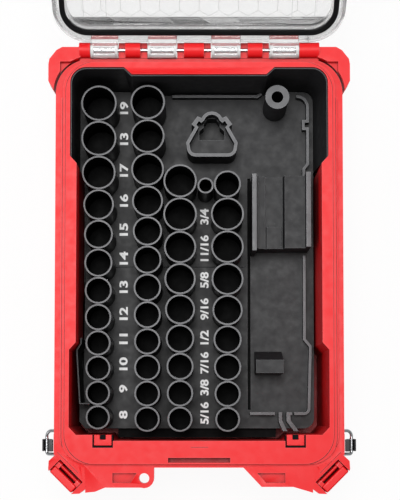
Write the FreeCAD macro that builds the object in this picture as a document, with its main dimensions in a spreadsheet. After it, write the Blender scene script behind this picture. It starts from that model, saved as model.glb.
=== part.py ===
import FreeCAD, Part
import math
import os
import re

import Sketcher

# Socket organizer drawer box: a moulded red box with a clear hinged lid and a
# black socket tray. Millimetres, +Z up, +Y towards the hinge. The origin lies
# on the underside, on the resting face. The lid is modelled closed and then
# turned open about its hinge pin.

doc = FreeCAD.newDocument("SocketOrganizer")
sheet = doc.addObject("Spreadsheet::Sheet", "Dimensions")

DIMENSIONS = {
    # box walls and rim, as half widths and stations along Y
    "wall_half": 108.6,
    "rim_half": 112.6,
    "flange_half": 117.5,
    "wall_front": -146.0,
    "wall_rear": 166.5,
    "rim_front": -160.2,
    "rim_rear": 167.5,
    "flange_front": -163.2,
    "flange_rear": 171.0,
    "rim_top": 102.0,
    "rim_under": 84.0,
    "flange_under": 88.0,
    "flange_top": 97.0,
    "horn_top": 101.0,
    "block_under": 68.0,
    "lip_thickness": 7.0,
    "floor_top": 2.4,
    "corner_round": 24.0,
    "wall_round": 16.0,
    "lid_round": 28.0,
    # opening of the box: wide at the ends, waisted in the middle
    "open_half": 105.1,
    "waist_half": 99.7,
    "open_front": -141.5,
    "open_corner_front": -136.7,
    "open_rear": 163.1,
    "open_middle_rear": 157.2,
    "waist_front": -65.0,
    "waist_rear": 87.0,
    # side ribs under the rim
    "side_rib_pitch": 34.0,
    "side_rib_thickness": 2.4,
    "side_rib_bottom": 12.0,
    # hinge
    "hinge_back": 178.0,
    "hinge_height": 98.0,
    "hinge_pin_half": 101.0,
    "hinge_pin_radius": 1.55,
    "hinge_bore_radius": 1.61,
    "knuckle_radius": 6.2,
    "knuckle_gap": 0.4,
    "lid_open_angle": 138.0,
    # lid
    "lid_top": 117.0,
    "lid_skin": 2.5,
    "lid_wall": 2.6,
    "lid_bottom": 97.5,
    "gasket_outer": 112.6,
    "gasket_inner": 108.2,
    "gasket_thickness": 2.8,
    "seal_front": -150.5,
    # tray
    "tray_left": -102.6,
    "tray_right": 98.4,
    "tray_front": -132.2,
    "tray_rear": 155.9,
    "tray_bottom": 2.7,
    "tray_deck_top": 45.0,
    "tray_plate": 2.2,
    "tray_rib_top": 52.0,
    "tray_rib_thickness": 2.4,
    "tray_wall_top": 100.6,
    "bay_front": 80.0,
    "bay_foot_rear": 158.8,
    "bay_brim_rear": 161.9,
    # cups
    "cup_top": 85.0,
    "cup_floor": 53.0,
    "cup_wall": 1.5,
    "metric_left_x": -83.2,
    "metric_right_x": -42.75,
    "inch_left_x": -15.75,
    "inch_right_x": 23.4,
    "cup_clearance": 0.04,
    "post_x": 65.0,
    "post_y": 143.2,
    "post_bore_radius": 4.8,
    # nest, cradle, wedge and channel on the deck
    "nest_height": 27.0,
    "nest_shelf_height": 17.0,
    "cradle_left": 44.1,
    "cradle_right": 93.2,
    "cradle_left_wall": 3.8,
    "cradle_right_wall": 4.2,
    "cradle_top": 80.0,
    "cradle_floor": 71.0,
    "cradle_step": 67.0,
    "wedge_height": 26.0,
    "channel_front": -134.6,
    "channel_rear": -118.3,
    # latches
    "latch_pivot_x": 116.4,
    "latch_pivot_z": 80.0,
    "latch_front": -153.0,
    "latch_rear": -133.6,
    "wire_radius": 1.35,
    "wire_bore_radius": 1.42,
    "bail_reach": 9.9,
    "bail_drop": 6.0,
    # padlock eye, lid slot and tray clips
    "padlock_x": -44.4,
    "padlock_y": -171.8,
    "padlock_radius": 4.1,
    "eye_boss_radius": 7.95,
    "clip_x": 77.6,
    "clip_half": 7.15,
    "clip_slot_half": 2.35,
    "clip_front": -145.3,
    "clip_rear": -136.6,
    # corner levers
    "corner_x": 105.7,
    "corner_y": -168.2,
    "corner_pin_z": 91.0,
    "corner_pin_radius": 1.5,
    "corner_pin_bore": 1.56,
}

for row, (alias, value) in enumerate(DIMENSIONS.items(), start=1):
    sheet.set(f"A{row}", alias)
    sheet.set(f"B{row}", str(value))
    sheet.setAlias(f"B{row}", alias)
doc.recompute()

PARTS = []


def value(expression):
    """The value of an expression on the sheet's aliases, in millimetres."""
    if not isinstance(expression, str):
        return float(expression)
    result = sheet.evalExpression(expression)
    return float(getattr(result, "Value", result))


def bound(expression):
    """The same expression with every alias read from the sheet."""
    return re.sub(r"[a-z_]+", lambda word: f"Dimensions.{word.group()}", str(expression))


def new_body(label):
    """A body that is written out as one named sub-part."""
    body = doc.addObject("PartDesign::Body", label)
    body.Label = label
    PARTS.append(body)
    return body


def plane_of(body, role):
    return next(item for item in body.Origin.OriginFeatures if item.Role == role)


def new_sketch(body, name, role="XY_Plane", level=0):
    """An empty sketch on one of the body's planes, moved along its normal."""
    sketch = body.newObject("Sketcher::SketchObject", name)
    sketch.AttachmentSupport = (plane_of(body, role), [""])
    sketch.MapMode = "FlatFace"
    sketch.setExpression("AttachmentOffset.Base.z", bound(level))
    return sketch


def pin_point(sketch, geometry, place, point):
    """Hold one point of the sketch at a pair of expressions on the sheet."""
    for kind, coordinate in zip(("DistanceX", "DistanceY"), point):
        index = sketch.addConstraint(
            Sketcher.Constraint(kind, -1, 1, geometry, place, value(coordinate))
        )
        sketch.setExpression(f"Constraints[{index}]", bound(coordinate))


def corner_ends(point, before, after):
    """Where a square corner's round meets the sides before and after it."""
    x, y, radius = point
    corner = (value(x), value(y))
    ends = []
    for neighbour in (before, after):
        step_x, step_y = ((n > c) - (n < c) for n, c in zip(neighbour, corner))
        ends.append((f"{x} + {step_x} * ({radius})", f"{y} + {step_y} * ({radius})"))
    return ends


def corner_arc(sketch, point, ends):
    """The quarter circle of a rounded corner, and whether it runs onwards."""
    start, finish = [FreeCAD.Vector(value(x), value(y), 0) for x, y in ends]
    centre = start + finish - FreeCAD.Vector(value(point[0]), value(point[1]), 0)
    angles = [math.atan2(end.y - centre.y, end.x - centre.x) for end in (start, finish)]
    onwards = (angles[1] - angles[0]) % (2 * math.pi) < math.pi
    if not onwards:
        angles.reverse()
    round_part = Part.Circle(centre, FreeCAD.Vector(0, 0, 1), value(point[2]))
    index = sketch.addGeometry(Part.ArcOfCircle(round_part, *angles))
    size = sketch.addConstraint(Sketcher.Constraint("Radius", index, value(point[2])))
    sketch.setExpression(f"Constraints[{size}]", bound(point[2]))
    return index, onwards


def outline(sketch, points):
    """Add a closed outline. A point is a pair of expressions on the sheet, and
    a third value rounds that corner, which is then a square one."""
    count = len(points)
    numbers = [(value(point[0]), value(point[1])) for point in points]
    ends = []
    for i, point in enumerate(points):
        if len(point) == 2:
            ends.append((point, point))
        else:
            ends.append(corner_ends(point, numbers[i - 1], numbers[(i + 1) % count]))
    sides = []
    for i in range(count):
        start, finish = ends[i][1], ends[(i + 1) % count][0]
        vectors = [FreeCAD.Vector(value(x), value(y), 0) for x, y in (start, finish)]
        side = sketch.addGeometry(Part.LineSegment(*vectors))
        pin_point(sketch, side, 1, start)
        sides.append(side)
    for i, point in enumerate(points):
        incoming, outgoing = sides[i - 1], sides[i]
        if len(point) == 2:
            sketch.addConstraint(Sketcher.Constraint("Coincident", incoming, 2, outgoing, 1))
            continue
        pin_point(sketch, incoming, 2, ends[i][0])
        arc, onwards = corner_arc(sketch, point, ends[i])
        first, last = (1, 2) if onwards else (2, 1)
        sketch.addConstraint(Sketcher.Constraint("Coincident", incoming, 2, arc, first))
        sketch.addConstraint(Sketcher.Constraint("Coincident", arc, last, outgoing, 1))
    return sketch


def rectangle(x0, x1, y0, y1, radius=None):
    corners = [(x0, y0), (x1, y0), (x1, y1), (x0, y1)]
    if radius is None:
        return corners
    return [(x, y, radius) for x, y in corners]


def both_sides(points):
    """A symmetric outline from its right half, given from front to rear."""
    left = [(f"-({x})", y, *rest) for x, y, *rest in reversed(points)]
    return points + left


def arc_points(centre_x, centre_y, radius, start, finish):
    """Points along an arc, between two angles in degrees."""
    turns = [start + (finish - start) * step / 6 for step in range(7)]
    return [
        (
            round(centre_x + radius * math.cos(math.radians(turn)), 3),
            round(centre_y + radius * math.sin(math.radians(turn)), 3),
        )
        for turn in turns
    ]


def strip(points, thickness):
    """The outline of a thin wall from its centre line."""
    line = [FreeCAD.Vector(x, y, 0) for x, y in points]
    steps = [(after - before).normalize() for before, after in zip(line, line[1:])]
    left, right = [], []
    for before, after, point in zip([steps[0], *steps], [*steps, steps[-1]], line):
        along = (before + after).normalize()
        reach = thickness / 2 / before.dot(along)
        offset = FreeCAD.Vector(-along.y, along.x, 0) * reach
        left.append(point + offset)
        right.append(point - offset)
    return [(round(corner.x, 3), round(corner.y, 3)) for corner in right + left[::-1]]


def circle(sketch, centre, radius):
    middle = FreeCAD.Vector(value(centre[0]), value(centre[1]), 0)
    normal = FreeCAD.Vector(0, 0, 1)
    index = sketch.addGeometry(Part.Circle(middle, normal, value(radius)))
    pin_point(sketch, index, 3, centre)
    size = sketch.addConstraint(Sketcher.Constraint("Radius", index, value(radius)))
    sketch.setExpression(f"Constraints[{size}]", bound(radius))
    return sketch


def pad(body, name, sketch, length, midplane=False):
    feature = body.newObject("PartDesign::Pad", name)
    feature.Profile = sketch
    feature.setExpression("Length", bound(length))
    feature.Midplane = midplane
    doc.recompute()
    return feature


def pocket(body, name, sketch, length, midplane=False, onwards=False):
    """Cut back from the sketch, or onwards along its normal, and make sure that
    material was removed."""
    before = body.Shape.Volume
    feature = body.newObject("PartDesign::Pocket", name)
    feature.Profile = sketch
    feature.Reversed = onwards
    feature.setExpression("Length", bound(length))
    feature.Midplane = midplane
    doc.recompute()
    assert body.Shape.Volume < before - 1.0, name
    return feature


def mirror(body, name, features, role="YZ_Plane"):
    feature = body.newObject("PartDesign::Mirrored", name)
    feature.Originals = features
    feature.MirrorPlane = (plane_of(body, role), [""])
    body.Tip = feature
    doc.recompute()
    return feature


# Base shell: one red moulding. The corner horns come first, so that the round
# gap between them and the lid's corners is cut before the rim is added.

KNUCKLES = [-98.0, -89.0, -66.0, -42.4, -18.0, 9.6, 34.0, 57.3, 81.8, 98.0]

base = new_body("base_shell")

horn = outline(
    new_sketch(base, "HornOutline", level="horn_top"),
    [
        (97, 168), (97, 180), (112, 180), (116.7, 177.4), (122.4, 170.2),
        (123.2, 166), (123.2, 152), (116, 140), (108, 146),
    ],
)
horn_pad = pad(base, "HornPad", horn, "horn_top - rim_under")
horn_pad.Reversed = True
doc.recompute()

gap_sketch = circle(
    new_sketch(base, "HornGapCircle", level="horn_top"),
    ("flange_half - lid_round", "flange_rear - lid_round"), "lid_round + 1.5",
)
horn_gap = pocket(base, "HornGap", gap_sketch, "horn_top - rim_under")
mirror(base, "HornPair", [horn_pad, horn_gap])

# Walls, the raised rim that carries the seal land, and the outward flange.
walls = outline(
    new_sketch(base, "WallOutline"),
    rectangle("-wall_half", "wall_half", "wall_front", "wall_rear", "wall_round"),
)
pad(base, "WallPad", walls, "rim_top")
rim = outline(
    new_sketch(base, "RimOutline", level="rim_under"),
    rectangle("-rim_half", "rim_half", "rim_front", "rim_rear", "corner_round"),
)
pad(base, "RimPad", rim, "rim_top - rim_under")
flange = outline(
    new_sketch(base, "FlangeOutline", level="flange_under"),
    rectangle("-flange_half", "flange_half", "flange_front", "flange_rear", "lid_round"),
)
pad(base, "FlangePad", flange, "flange_top - flange_under")
flange_corner = outline(
    new_sketch(base, "FlangeCornerOutline", level="flange_under"),
    [(88, -120), (88, -158), (110, -158), ("flange_half", -152.6), ("flange_half", -120)],
)
corner_pad = pad(base, "FlangeCornerPad", flange_corner, "flange_top - flange_under")
mirror(base, "FlangeCornerPair", [corner_pad])

# Stiffening ribs under the flange, down both sides.
rib = new_sketch(base, "SideRibOutline", level="side_rib_bottom")
for inner, outer in (("wall_half - 1", "rim_half"), ("1 - wall_half", "-rim_half")):
    rib_ends = ("-side_rib_thickness / 2 - 105", "side_rib_thickness / 2 - 105")
    outline(rib, rectangle(inner, outer, *rib_ends))
rib_pad = pad(base, "SideRibPad", rib, "rim_under - side_rib_bottom + 1")
rib_row = base.newObject("PartDesign::LinearPattern", "SideRibRow")
rib_row.Originals = [rib_pad]
rib_row.Direction = (plane_of(base, "XZ_Plane"), [""])
rib_row.Reversed = True
rib_row.setExpression("Length", bound("side_rib_pitch * 7"))
rib_row.Occurrences = 8
base.Tip = rib_row
doc.recompute()

# Front lip with the padlock eye on the left.
eye_boss = arc_points(
    value("padlock_x"), value("padlock_y"), value("eye_boss_radius"), -109.4, 0
)
lip = outline(
    new_sketch(base, "LipOutline", level="flange_top - lip_thickness"),
    [
        (-92, -160), (-92, -183.4), (-84, -182.6), (-76, -179.3), *eye_boss,
        ("padlock_x + eye_boss_radius", "flange_front"), (35.8, "flange_front"), (50.5, -178.7),
        (76, -178.7), (92, -183.4), (92, -160),
    ],
)
pad(base, "LipPad", lip, "lip_thickness")
eye = circle(
    new_sketch(base, "PadlockEye", level="flange_top"), ("padlock_x", "padlock_y"), "padlock_radius"
)
pocket(base, "PadlockHole", eye, "lip_thickness + 0.5")
for name, points in {
    "LeftLipPocket": [(-70, -175.4), (-70, -167.6), (-50.5, -167.6), (-55.6, -175.4)],
    "RightLipPocket": [(54, -175.4), (47, -167.6), (69.6, -167.6), (69.6, -175.4)],
}.items():
    sketch = outline(new_sketch(base, name, level="flange_top"), points)
    pocket(base, name + "Cut", sketch, 4)

# Hinge knuckles with a web to the rear wall. The ends of each are open on top,
# where the pin shows.
for number in range(5):
    left, right = KNUCKLES[2 * number], KNUCKLES[2 * number + 1]
    barrel = circle(
        new_sketch(base, f"KnuckleCircle{number}", "YZ_Plane", left),
        ("hinge_back", "hinge_height"), "knuckle_radius",
    )
    pad(base, f"Knuckle{number}", barrel, right - left)
    web = outline(
        new_sketch(base, f"KnuckleWebOutline{number}", "YZ_Plane", left),
        rectangle("rim_rear - 2", "hinge_back", "rim_under", "flange_top"),
    )
    pad(base, f"KnuckleWeb{number}", web, right - left)

PIN_WINDOW = 5.6
for number in range(5):
    left, right = KNUCKLES[2 * number], KNUCKLES[2 * number + 1]
    for side, start in (("Left", left - 0.1), ("Right", right - PIN_WINDOW)):
        if right - left < 3 * PIN_WINDOW:
            continue
        window = outline(
            new_sketch(base, f"PinWindow{side}{number}", level="hinge_height + 8"),
            rectangle(start, start + PIN_WINDOW + 0.1, "flange_rear + 0.6", "hinge_back + 7"),
        )
        pocket(base, f"PinWindowCut{side}{number}", window, 8)

bore = circle(
    new_sketch(base, "HingeBore", "YZ_Plane"), ("hinge_back", "hinge_height"), "hinge_bore_radius"
)
pocket(base, "HingeBoreCut", bore, 204, midplane=True)

# The opening, waisted along the middle, with shallow chamfers between.
opening = outline(
    new_sketch(base, "OpeningOutline", level="rim_top"),
    both_sides(
        [
            (70, "open_front"), (75, "open_corner_front"), (99.2, "open_corner_front"),
            ("open_half", -130.4), ("open_half", "waist_front - 3"),
            ("waist_half", "waist_front + 3"), ("waist_half", "waist_rear - 3"),
            ("open_half", "waist_rear + 3"), ("open_half", "open_rear", 13),
            (61.5, "open_rear"), (55, "open_middle_rear"),
        ]
    ),
)
pocket(base, "OpeningCut", opening, "rim_top - floor_top")

# Slot for the lid's tongue and notches for the clips.
slot = outline(
    new_sketch(base, "FrontSlot", level="rim_top"), rectangle(-25, 25, -158.9, -155.1)
)
pocket(base, "FrontSlotCut", slot, 9)
for name, left in (("Left", "-clip_x - 8.3"), ("Right", "clip_x - 8.3")):
    notch = outline(
        new_sketch(base, f"ClipNotch{name}", level="rim_top"),
        rectangle(left, left + " + 16.6", -147, "open_corner_front + 2"),
    )
    pocket(base, f"ClipNotchCut{name}", notch, 12)


def move(item, x=0, y=0, z=0):
    """Bind the place of a primitive to expressions on the sheet."""
    for letter, coordinate in zip("xyz", (x, y, z)):
        item.setExpression(f"Placement.Base.{letter}", bound(coordinate))
    return item


def cylinder(name, radius, length, direction=(0, 0, 1), **place):
    item = doc.addObject("Part::Cylinder", name)
    item.setExpression("Radius", bound(radius))
    item.setExpression("Height", bound(length))
    turn = FreeCAD.Rotation(FreeCAD.Vector(0, 0, 1), FreeCAD.Vector(*direction))
    item.Placement = FreeCAD.Placement(FreeCAD.Vector(), turn)
    return move(item, **place)


def part(label, item):
    """Name a finished object as one sub-part."""
    item.Label = label
    PARTS.append(item)
    return item


def mirrored(label, source):
    """The same piece on the other side of the box."""
    item = doc.addObject("Part::Mirroring", label)
    item.Source = source
    item.Base = FreeCAD.Vector(0, 0, 0)
    item.Normal = FreeCAD.Vector(1, 0, 0)
    return part(label, item)


def diagonal(along, outward):
    """A point by its distances along the right-hand corner pin and outwards."""
    half_root = math.sqrt(0.5)
    return (
        f"corner_x + {(along + outward) * half_root:.4f}",
        f"corner_y + {(along - outward) * half_root:.4f}",
    )


# Corner blocks: moulded with the base at its front corners, outside the rim.
# Each has a diagonal recess, open outwards, for its lever, and room behind it,
# below the flange, for the wire bail.
whole_block = doc.addObject("PartDesign::Body", "WholeBlock")
block = outline(
    new_sketch(whole_block, "BlockOutline", level="block_under"),
    [
        (92, -150), (90.4, -179.1), (96.7, -184.2), (104.7, -184.5), (114.6, -176.5),
        (120.9, -169.1), (122, -164), (121.6, -157.7), (117.2, -153.6), (110, -150),
    ],
)
pad(whole_block, "BlockPad", block, "flange_top - block_under")
bail_room = outline(
    new_sketch(whole_block, "BailRoom", level="block_under"), rectangle(88, 124, -156.5, -149)
)
pocket(whole_block, "BailRoomCut", bail_room, "flange_under - block_under", onwards=True)
recess = outline(
    new_sketch(whole_block, "LeverRecess", level="flange_top"),
    [diagonal(-13, -3.6), diagonal(-13, 15), diagonal(13, 15), diagonal(13, -3.6)],
)
pocket(whole_block, "LeverRecessCut", recess, "flange_top - block_under - 2")
corner_block = doc.addObject("Part::Cut", "CornerBlock")
corner_block.Base = whole_block
corner_block.Tool = base
part("corner_block_right", corner_block)
mirrored("corner_block_left", corner_block)

# Bail lugs: under the flange, against the wall and the rim, bored for the wire.
lug = new_body("bail_lug_right")
lug_side = outline(
    new_sketch(lug, "LugSide", "XZ_Plane", "-latch_rear + 2.5"),
    [
        ("wall_half", "latch_pivot_z - 3"), ("latch_pivot_x + 2.5", "latch_pivot_z - 3"),
        ("latch_pivot_x + 2.5", "flange_under"), ("rim_half", "flange_under"),
        ("rim_half", "rim_under"), ("wall_half", "rim_under"),
    ],
)
pad(lug, "LugPad", lug_side, "latch_rear - latch_front - 5")
lug_bore = circle(
    new_sketch(lug, "LugBore", "XZ_Plane", "-latch_rear"), ("latch_pivot_x", "latch_pivot_z"),
    "wire_bore_radius",
)
pocket(lug, "LugBoreCut", lug_bore, "latch_rear - latch_front", onwards=True)
mirrored("bail_lug_left", lug)

# Hinge pin: one steel rod through all the knuckles.
part(
    "hinge_pin",
    cylinder(
        "HingePin", "hinge_pin_radius", "hinge_pin_half * 2", (1, 0, 0), x="-hinge_pin_half",
        y="hinge_back", z="hinge_height",
    ),
)


def open_lid(item):
    """Turn a piece of the closed lid about the hinge pin to its open stop."""
    turn = FreeCAD.Rotation(FreeCAD.Vector(1, 0, 0), -value("lid_open_angle"))
    centre = FreeCAD.Vector(0, value("hinge_back"), value("hinge_height"))
    item.Placement = FreeCAD.Placement(FreeCAD.Vector(), turn, centre)


# Lid: clear moulding with a skirt over the raised rim, a channel that holds
# the gasket, a tongue for the front slot, a padlock tab and four knuckles.
lid = new_body("lid_shell")
cover = outline(
    new_sketch(lid, "CoverOutline", level="lid_bottom"),
    rectangle("-flange_half", "flange_half", "flange_front", "flange_rear", "lid_round"),
)
cover_pad = pad(lid, "CoverPad", cover, "lid_top - lid_bottom")
top_edges = [
    f"Edge{number}"
    for number, edge in enumerate(cover_pad.Shape.Edges, start=1)
    if abs(edge.BoundBox.ZMin - value("lid_top")) < 0.01
]
top_round = lid.newObject("PartDesign::Fillet", "CoverRound")
top_round.Base = (cover_pad, top_edges)
top_round.Radius = 4
doc.recompute()
inside = outline(
    new_sketch(lid, "CoverInside", level="lid_bottom"),
    rectangle(
        "lid_wall - flange_half", "flange_half - lid_wall", "flange_front + lid_wall",
        "flange_rear - lid_wall", "lid_round - lid_wall",
    ),
)
pocket(lid, "CoverHollow", inside, "lid_top - lid_skin - lid_bottom", onwards=True)


def seal_ring(body, name, level, spare):
    """Nested outlines of the seal line, made wider each way by the spare."""
    sketch = new_sketch(body, name, level=level)
    for reach, radius in ((f"gasket_outer + {spare}", 22), (f"gasket_inner - {spare}", 18)):
        front = f"seal_front + gasket_outer - ({reach})"
        rear = f"rim_rear - 0.2 - gasket_outer + {reach}"
        outline(sketch, rectangle(f"-({reach})", reach, front, rear, radius))
    return sketch


channel = seal_ring(lid, "GasketChannel", "rim_top + gasket_thickness + 0.2", 0.3)
pad(lid, "GasketChannelPad", channel, "lid_top - lid_skin - rim_top - gasket_thickness")
tongue = outline(
    new_sketch(lid, "TongueOutline", level="rim_top - 8"), rectangle(-23.5, 23.5, -158.4, -155.6)
)
pad(lid, "TonguePad", tongue, "lid_top - lid_skin - rim_top + 8.5")
tab = outline(
    new_sketch(lid, "PadlockTab", level="lid_bottom"),
    [
        ("padlock_x - 9", "flange_front + 1"), ("padlock_x - 9", "padlock_y - 7", 5),
        ("padlock_x + 9", "padlock_y - 7", 5), ("padlock_x + 9", "flange_front + 1"),
    ],
)
pad(lid, "PadlockTabPad", tab, 4)
tab_hole = circle(
    new_sketch(lid, "PadlockTabHole", level="lid_bottom + 4"), ("padlock_x", "padlock_y"),
    "padlock_radius",
)
pocket(lid, "PadlockTabCut", tab_hole, 4.5)
for number in range(4):
    left = f"{KNUCKLES[2 * number + 1]} + knuckle_gap"
    right = f"{KNUCKLES[2 * number + 2]} - knuckle_gap"
    barrel = circle(
        new_sketch(lid, f"LidKnuckleCircle{number}", "YZ_Plane", left),
        ("hinge_back", "hinge_height"), "knuckle_radius",
    )
    pad(lid, f"LidKnuckle{number}", barrel, f"{right} - ({left})")
    arm = outline(
        new_sketch(lid, f"LidArmOutline{number}", "YZ_Plane", left),
        [
            ("flange_rear - 1", "lid_bottom + 1"), ("hinge_back - 2", "hinge_height + 1"),
            ("hinge_back", "hinge_height + knuckle_radius"), ("flange_rear - 1", "lid_top - 6"),
        ],
    )
    pad(lid, f"LidArm{number}", arm, f"{right} - ({left})")
lid_bore = circle(
    new_sketch(lid, "LidHingeBore", "YZ_Plane"), ("hinge_back", "hinge_height"),
    "hinge_bore_radius",
)
pocket(lid, "LidHingeBoreCut", lid_bore, 180, midplane=True)
open_lid(lid)

gasket = new_body("lid_gasket")
ring = seal_ring(gasket, "GasketRing", "rim_top + 0.1", 0)
pad(gasket, "GasketPad", ring, "gasket_thickness")
open_lid(gasket)

# Clips: red blocks, slotted towards the tray, that stand in the front notches.
for side, sign in (("left", "-"), ("right", "")):
    clip = new_body(f"tray_clip_{side}")
    middle = f"{sign}clip_x"
    shape = outline(
        new_sketch(clip, f"ClipOutline_{side}", level="rim_top - 12"),
        [
            (f"{middle} - clip_half", "clip_front"), (f"{middle} + clip_half", "clip_front"),
            (f"{middle} + clip_half", "clip_rear"), (f"{middle} + clip_slot_half", "clip_rear"),
            (f"{middle} + clip_slot_half", "clip_rear - 3.9"),
            (f"{middle} - clip_slot_half", "clip_rear - 3.9"),
            (f"{middle} - clip_slot_half", "clip_rear"), (f"{middle} - clip_half", "clip_rear"),
        ],
    )
    pad(clip, f"ClipPad_{side}", shape, 11)

# Tray: black moulding that drops into the opening. A flat deck stands on a
# skirt, low ribs run along parts of its edge, and a tall wall with a draft
# lines the rear of the opening.
tray = new_body("tray_deck")
deck = outline(
    new_sketch(tray, "DeckOutline", level="tray_bottom"),
    [
        ("tray_left + 5", "tray_front"), ("tray_right", "tray_front", 9),
        ("tray_right", "tray_rear", 6), ("tray_left", "tray_rear", 6),
        ("tray_left", "waist_rear + 4"), ("0.8 - waist_half", "waist_rear - 3"),
        ("0.8 - waist_half", "waist_front + 3"), ("tray_left", "waist_front - 3"),
        ("tray_left", "tray_front + 6"),
    ],
)
pad(tray, "DeckPad", deck, "tray_deck_top - tray_bottom")
under = outline(
    new_sketch(tray, "UnderOutline", level="tray_bottom"),
    rectangle("tray_left + 8", "tray_right - 3", "tray_front + 3", "tray_rear - 3", 6),
)
pocket(tray, "UnderCut", under, "tray_deck_top - tray_plate - tray_bottom", onwards=True)

rear_wall = outline(
    new_sketch(tray, "RearWallOutline", level="tray_deck_top - tray_plate"),
    both_sides(
        [
            ("open_half - 1.9", "waist_rear + 1.6"), ("open_half - 0.3", "waist_rear + 3.2"),
            ("open_half - 0.3", "open_rear - 0.3", 12.7), (61.35, "open_rear - 0.3"),
            (54.9, "open_middle_rear - 0.3"),
        ]
    ),
)
pad(tray, "RearWallPad", rear_wall, "tray_wall_top - tray_deck_top + tray_plate")
foot = outline(
    new_sketch(tray, "RearBayFoot", level="tray_deck_top"),
    [
        ("tray_right", "bay_front"), ("tray_right", "bay_foot_rear", 9),
        (59.5, "bay_foot_rear"), (56, "bay_foot_rear - 3.2"), (-56, "bay_foot_rear - 3.2"),
        (-59.5, "bay_foot_rear"), ("tray_left - 0.2", "bay_foot_rear", 9),
        ("tray_left - 0.2", "bay_front"),
    ],
)
brim = outline(
    new_sketch(tray, "RearBayBrim", level="tray_wall_top"),
    [
        ("open_half - 1.2", "bay_front"), ("open_half - 1.2", "bay_brim_rear", 12),
        (61.8, "bay_brim_rear"), (55.4, "bay_brim_rear - 5.9"), (-55.4, "bay_brim_rear - 5.9"),
        (-61.8, "bay_brim_rear"), ("1.2 - open_half", "bay_brim_rear", 12),
        ("1.2 - open_half", "bay_front"),
    ],
)
bay = tray.newObject("PartDesign::SubtractiveLoft", "RearBayCut")
bay.Profile = foot
bay.Sections = [brim]
bay.Ruled = True
doc.recompute()

low_ribs = new_sketch(tray, "LowRibs", level="tray_deck_top")
for centre_line in (
    [(-23.2, 153.2), (50.3, 153.2), (53.6, 155.6)],
    [
        (83.5, 153.2), *arc_points(84, 144, 9.2, 90, 0), (93.2, 131.6), (89.5, 131.6),
        (89.5, 125.2), (93.2, 125.2), (93.2, 94.6), (89.8, 90.2), (89.8, 82.2),
    ],
    [
        (89.8, 15.5), (89.8, -56.3), (94.8, -62.3), (93.4, -113.5),
        *arc_points(89.1, -115.3, 4.3, 0, -90), (80.8, -119.6),
    ],
    [(43.2, -119.6), (64.3, -119.6)],
):
    outline(low_ribs, strip(centre_line, value("tray_rib_thickness")))
pad(tray, "LowRibPad", low_ribs, "tray_rib_top - tray_deck_top")
side_fence = outline(
    new_sketch(tray, "SideFence", level="tray_deck_top"),
    strip([(-97.7, -57), (-97.7, -61.5), (-101.2, -67.2), (-98.5, -111.3), (-90, -111.3)], 1.2),
)
pad(tray, "SideFencePad", side_fence, 35)
groove = outline(
    new_sketch(tray, "DeckGroove", level="tray_deck_top"), rectangle(41.6, 44, -116.3, 83.4)
)
pocket(tray, "DeckGrooveCut", groove, "tray_plate + 0.2")

# Socket cups. Each row runs from the front to the rear, and neighbours stand a
# hair apart. The numbers are outside diameters, from the smallest socket size.
CUP_ROWS = {
    "metric_cups_left": (
        "metric_left_x", -132.6, 0.24,
        [19.7, 19.9, 20.4, 20.6, 21.6, 22.2, 23.1, 23.7, 25.2, 27.8, 29.0, 29.4],
    ),
    "metric_cups_right": (
        "metric_right_x", -134.5, 0.6,
        [20.2, 20.6, 20.9, 21.1, 21.7, 22.2, 22.7, 23.7, 25.1, 26.7, 27.6, 28.2],
    ),
    "inch_cups_left": (
        "inch_left_x", -134.5, 0.8, [19.9, 21.0, 21.6, 22.7, 24.0, 25.1, 25.9, 27.1, 26.9],
    ),
    "inch_cups_right": (
        "inch_right_x", -134.5, 0.6, [19.8, 20.9, 21.8, 22.7, 24.5, 25.9, 26.4, 26.9, 21.9],
    ),
    "adapter_cup": ("inch_right_x - 18.1", 62.4, 0, [13.4]),
}


def cup(name, diameter, x, y):
    """A round cup with a thick floor, as a cylinder with a blind bore."""
    wall = cylinder(
        f"{name}_wall", f"{diameter} / 2", "cup_top - tray_deck_top", x=x, y=y, z="tray_deck_top"
    )
    bore = cylinder(
        f"{name}_bore", f"{diameter} / 2 - cup_wall", "cup_top - cup_floor + 1",
        x=x, y=y, z="cup_floor",
    )
    cut = doc.addObject("Part::Cut", name)
    cut.Base = wall
    cut.Tool = bore
    return cut


for label, (row_x, front, spread, diameters) in CUP_ROWS.items():
    cups = []
    edge = front
    for number, diameter in enumerate(diameters, start=1):
        outside = diameter + spread
        cups.append(
            cup(f"{label}_{number}", f"({outside} - cup_clearance)", row_x, edge + outside / 2)
        )
        edge += outside
    row = doc.addObject("Part::Compound", label)
    row.Links = cups
    part(label, row)

# Post: a plain hollow pillar for the long adapters.
post_wall = cylinder(
    "PostWall", 10, "cup_top - tray_deck_top", x="post_x", y="post_y", z="tray_deck_top"
)
post_bore = cylinder(
    "PostBore", "post_bore_radius", "cup_top - tray_deck_top - 3", x="post_x", y="post_y",
    z="tray_deck_top + 4",
)
post = doc.addObject("Part::Cut", "ExtensionPost")
post.Base = post_wall
post.Tool = post_bore
part("extension_post", post)

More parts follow.
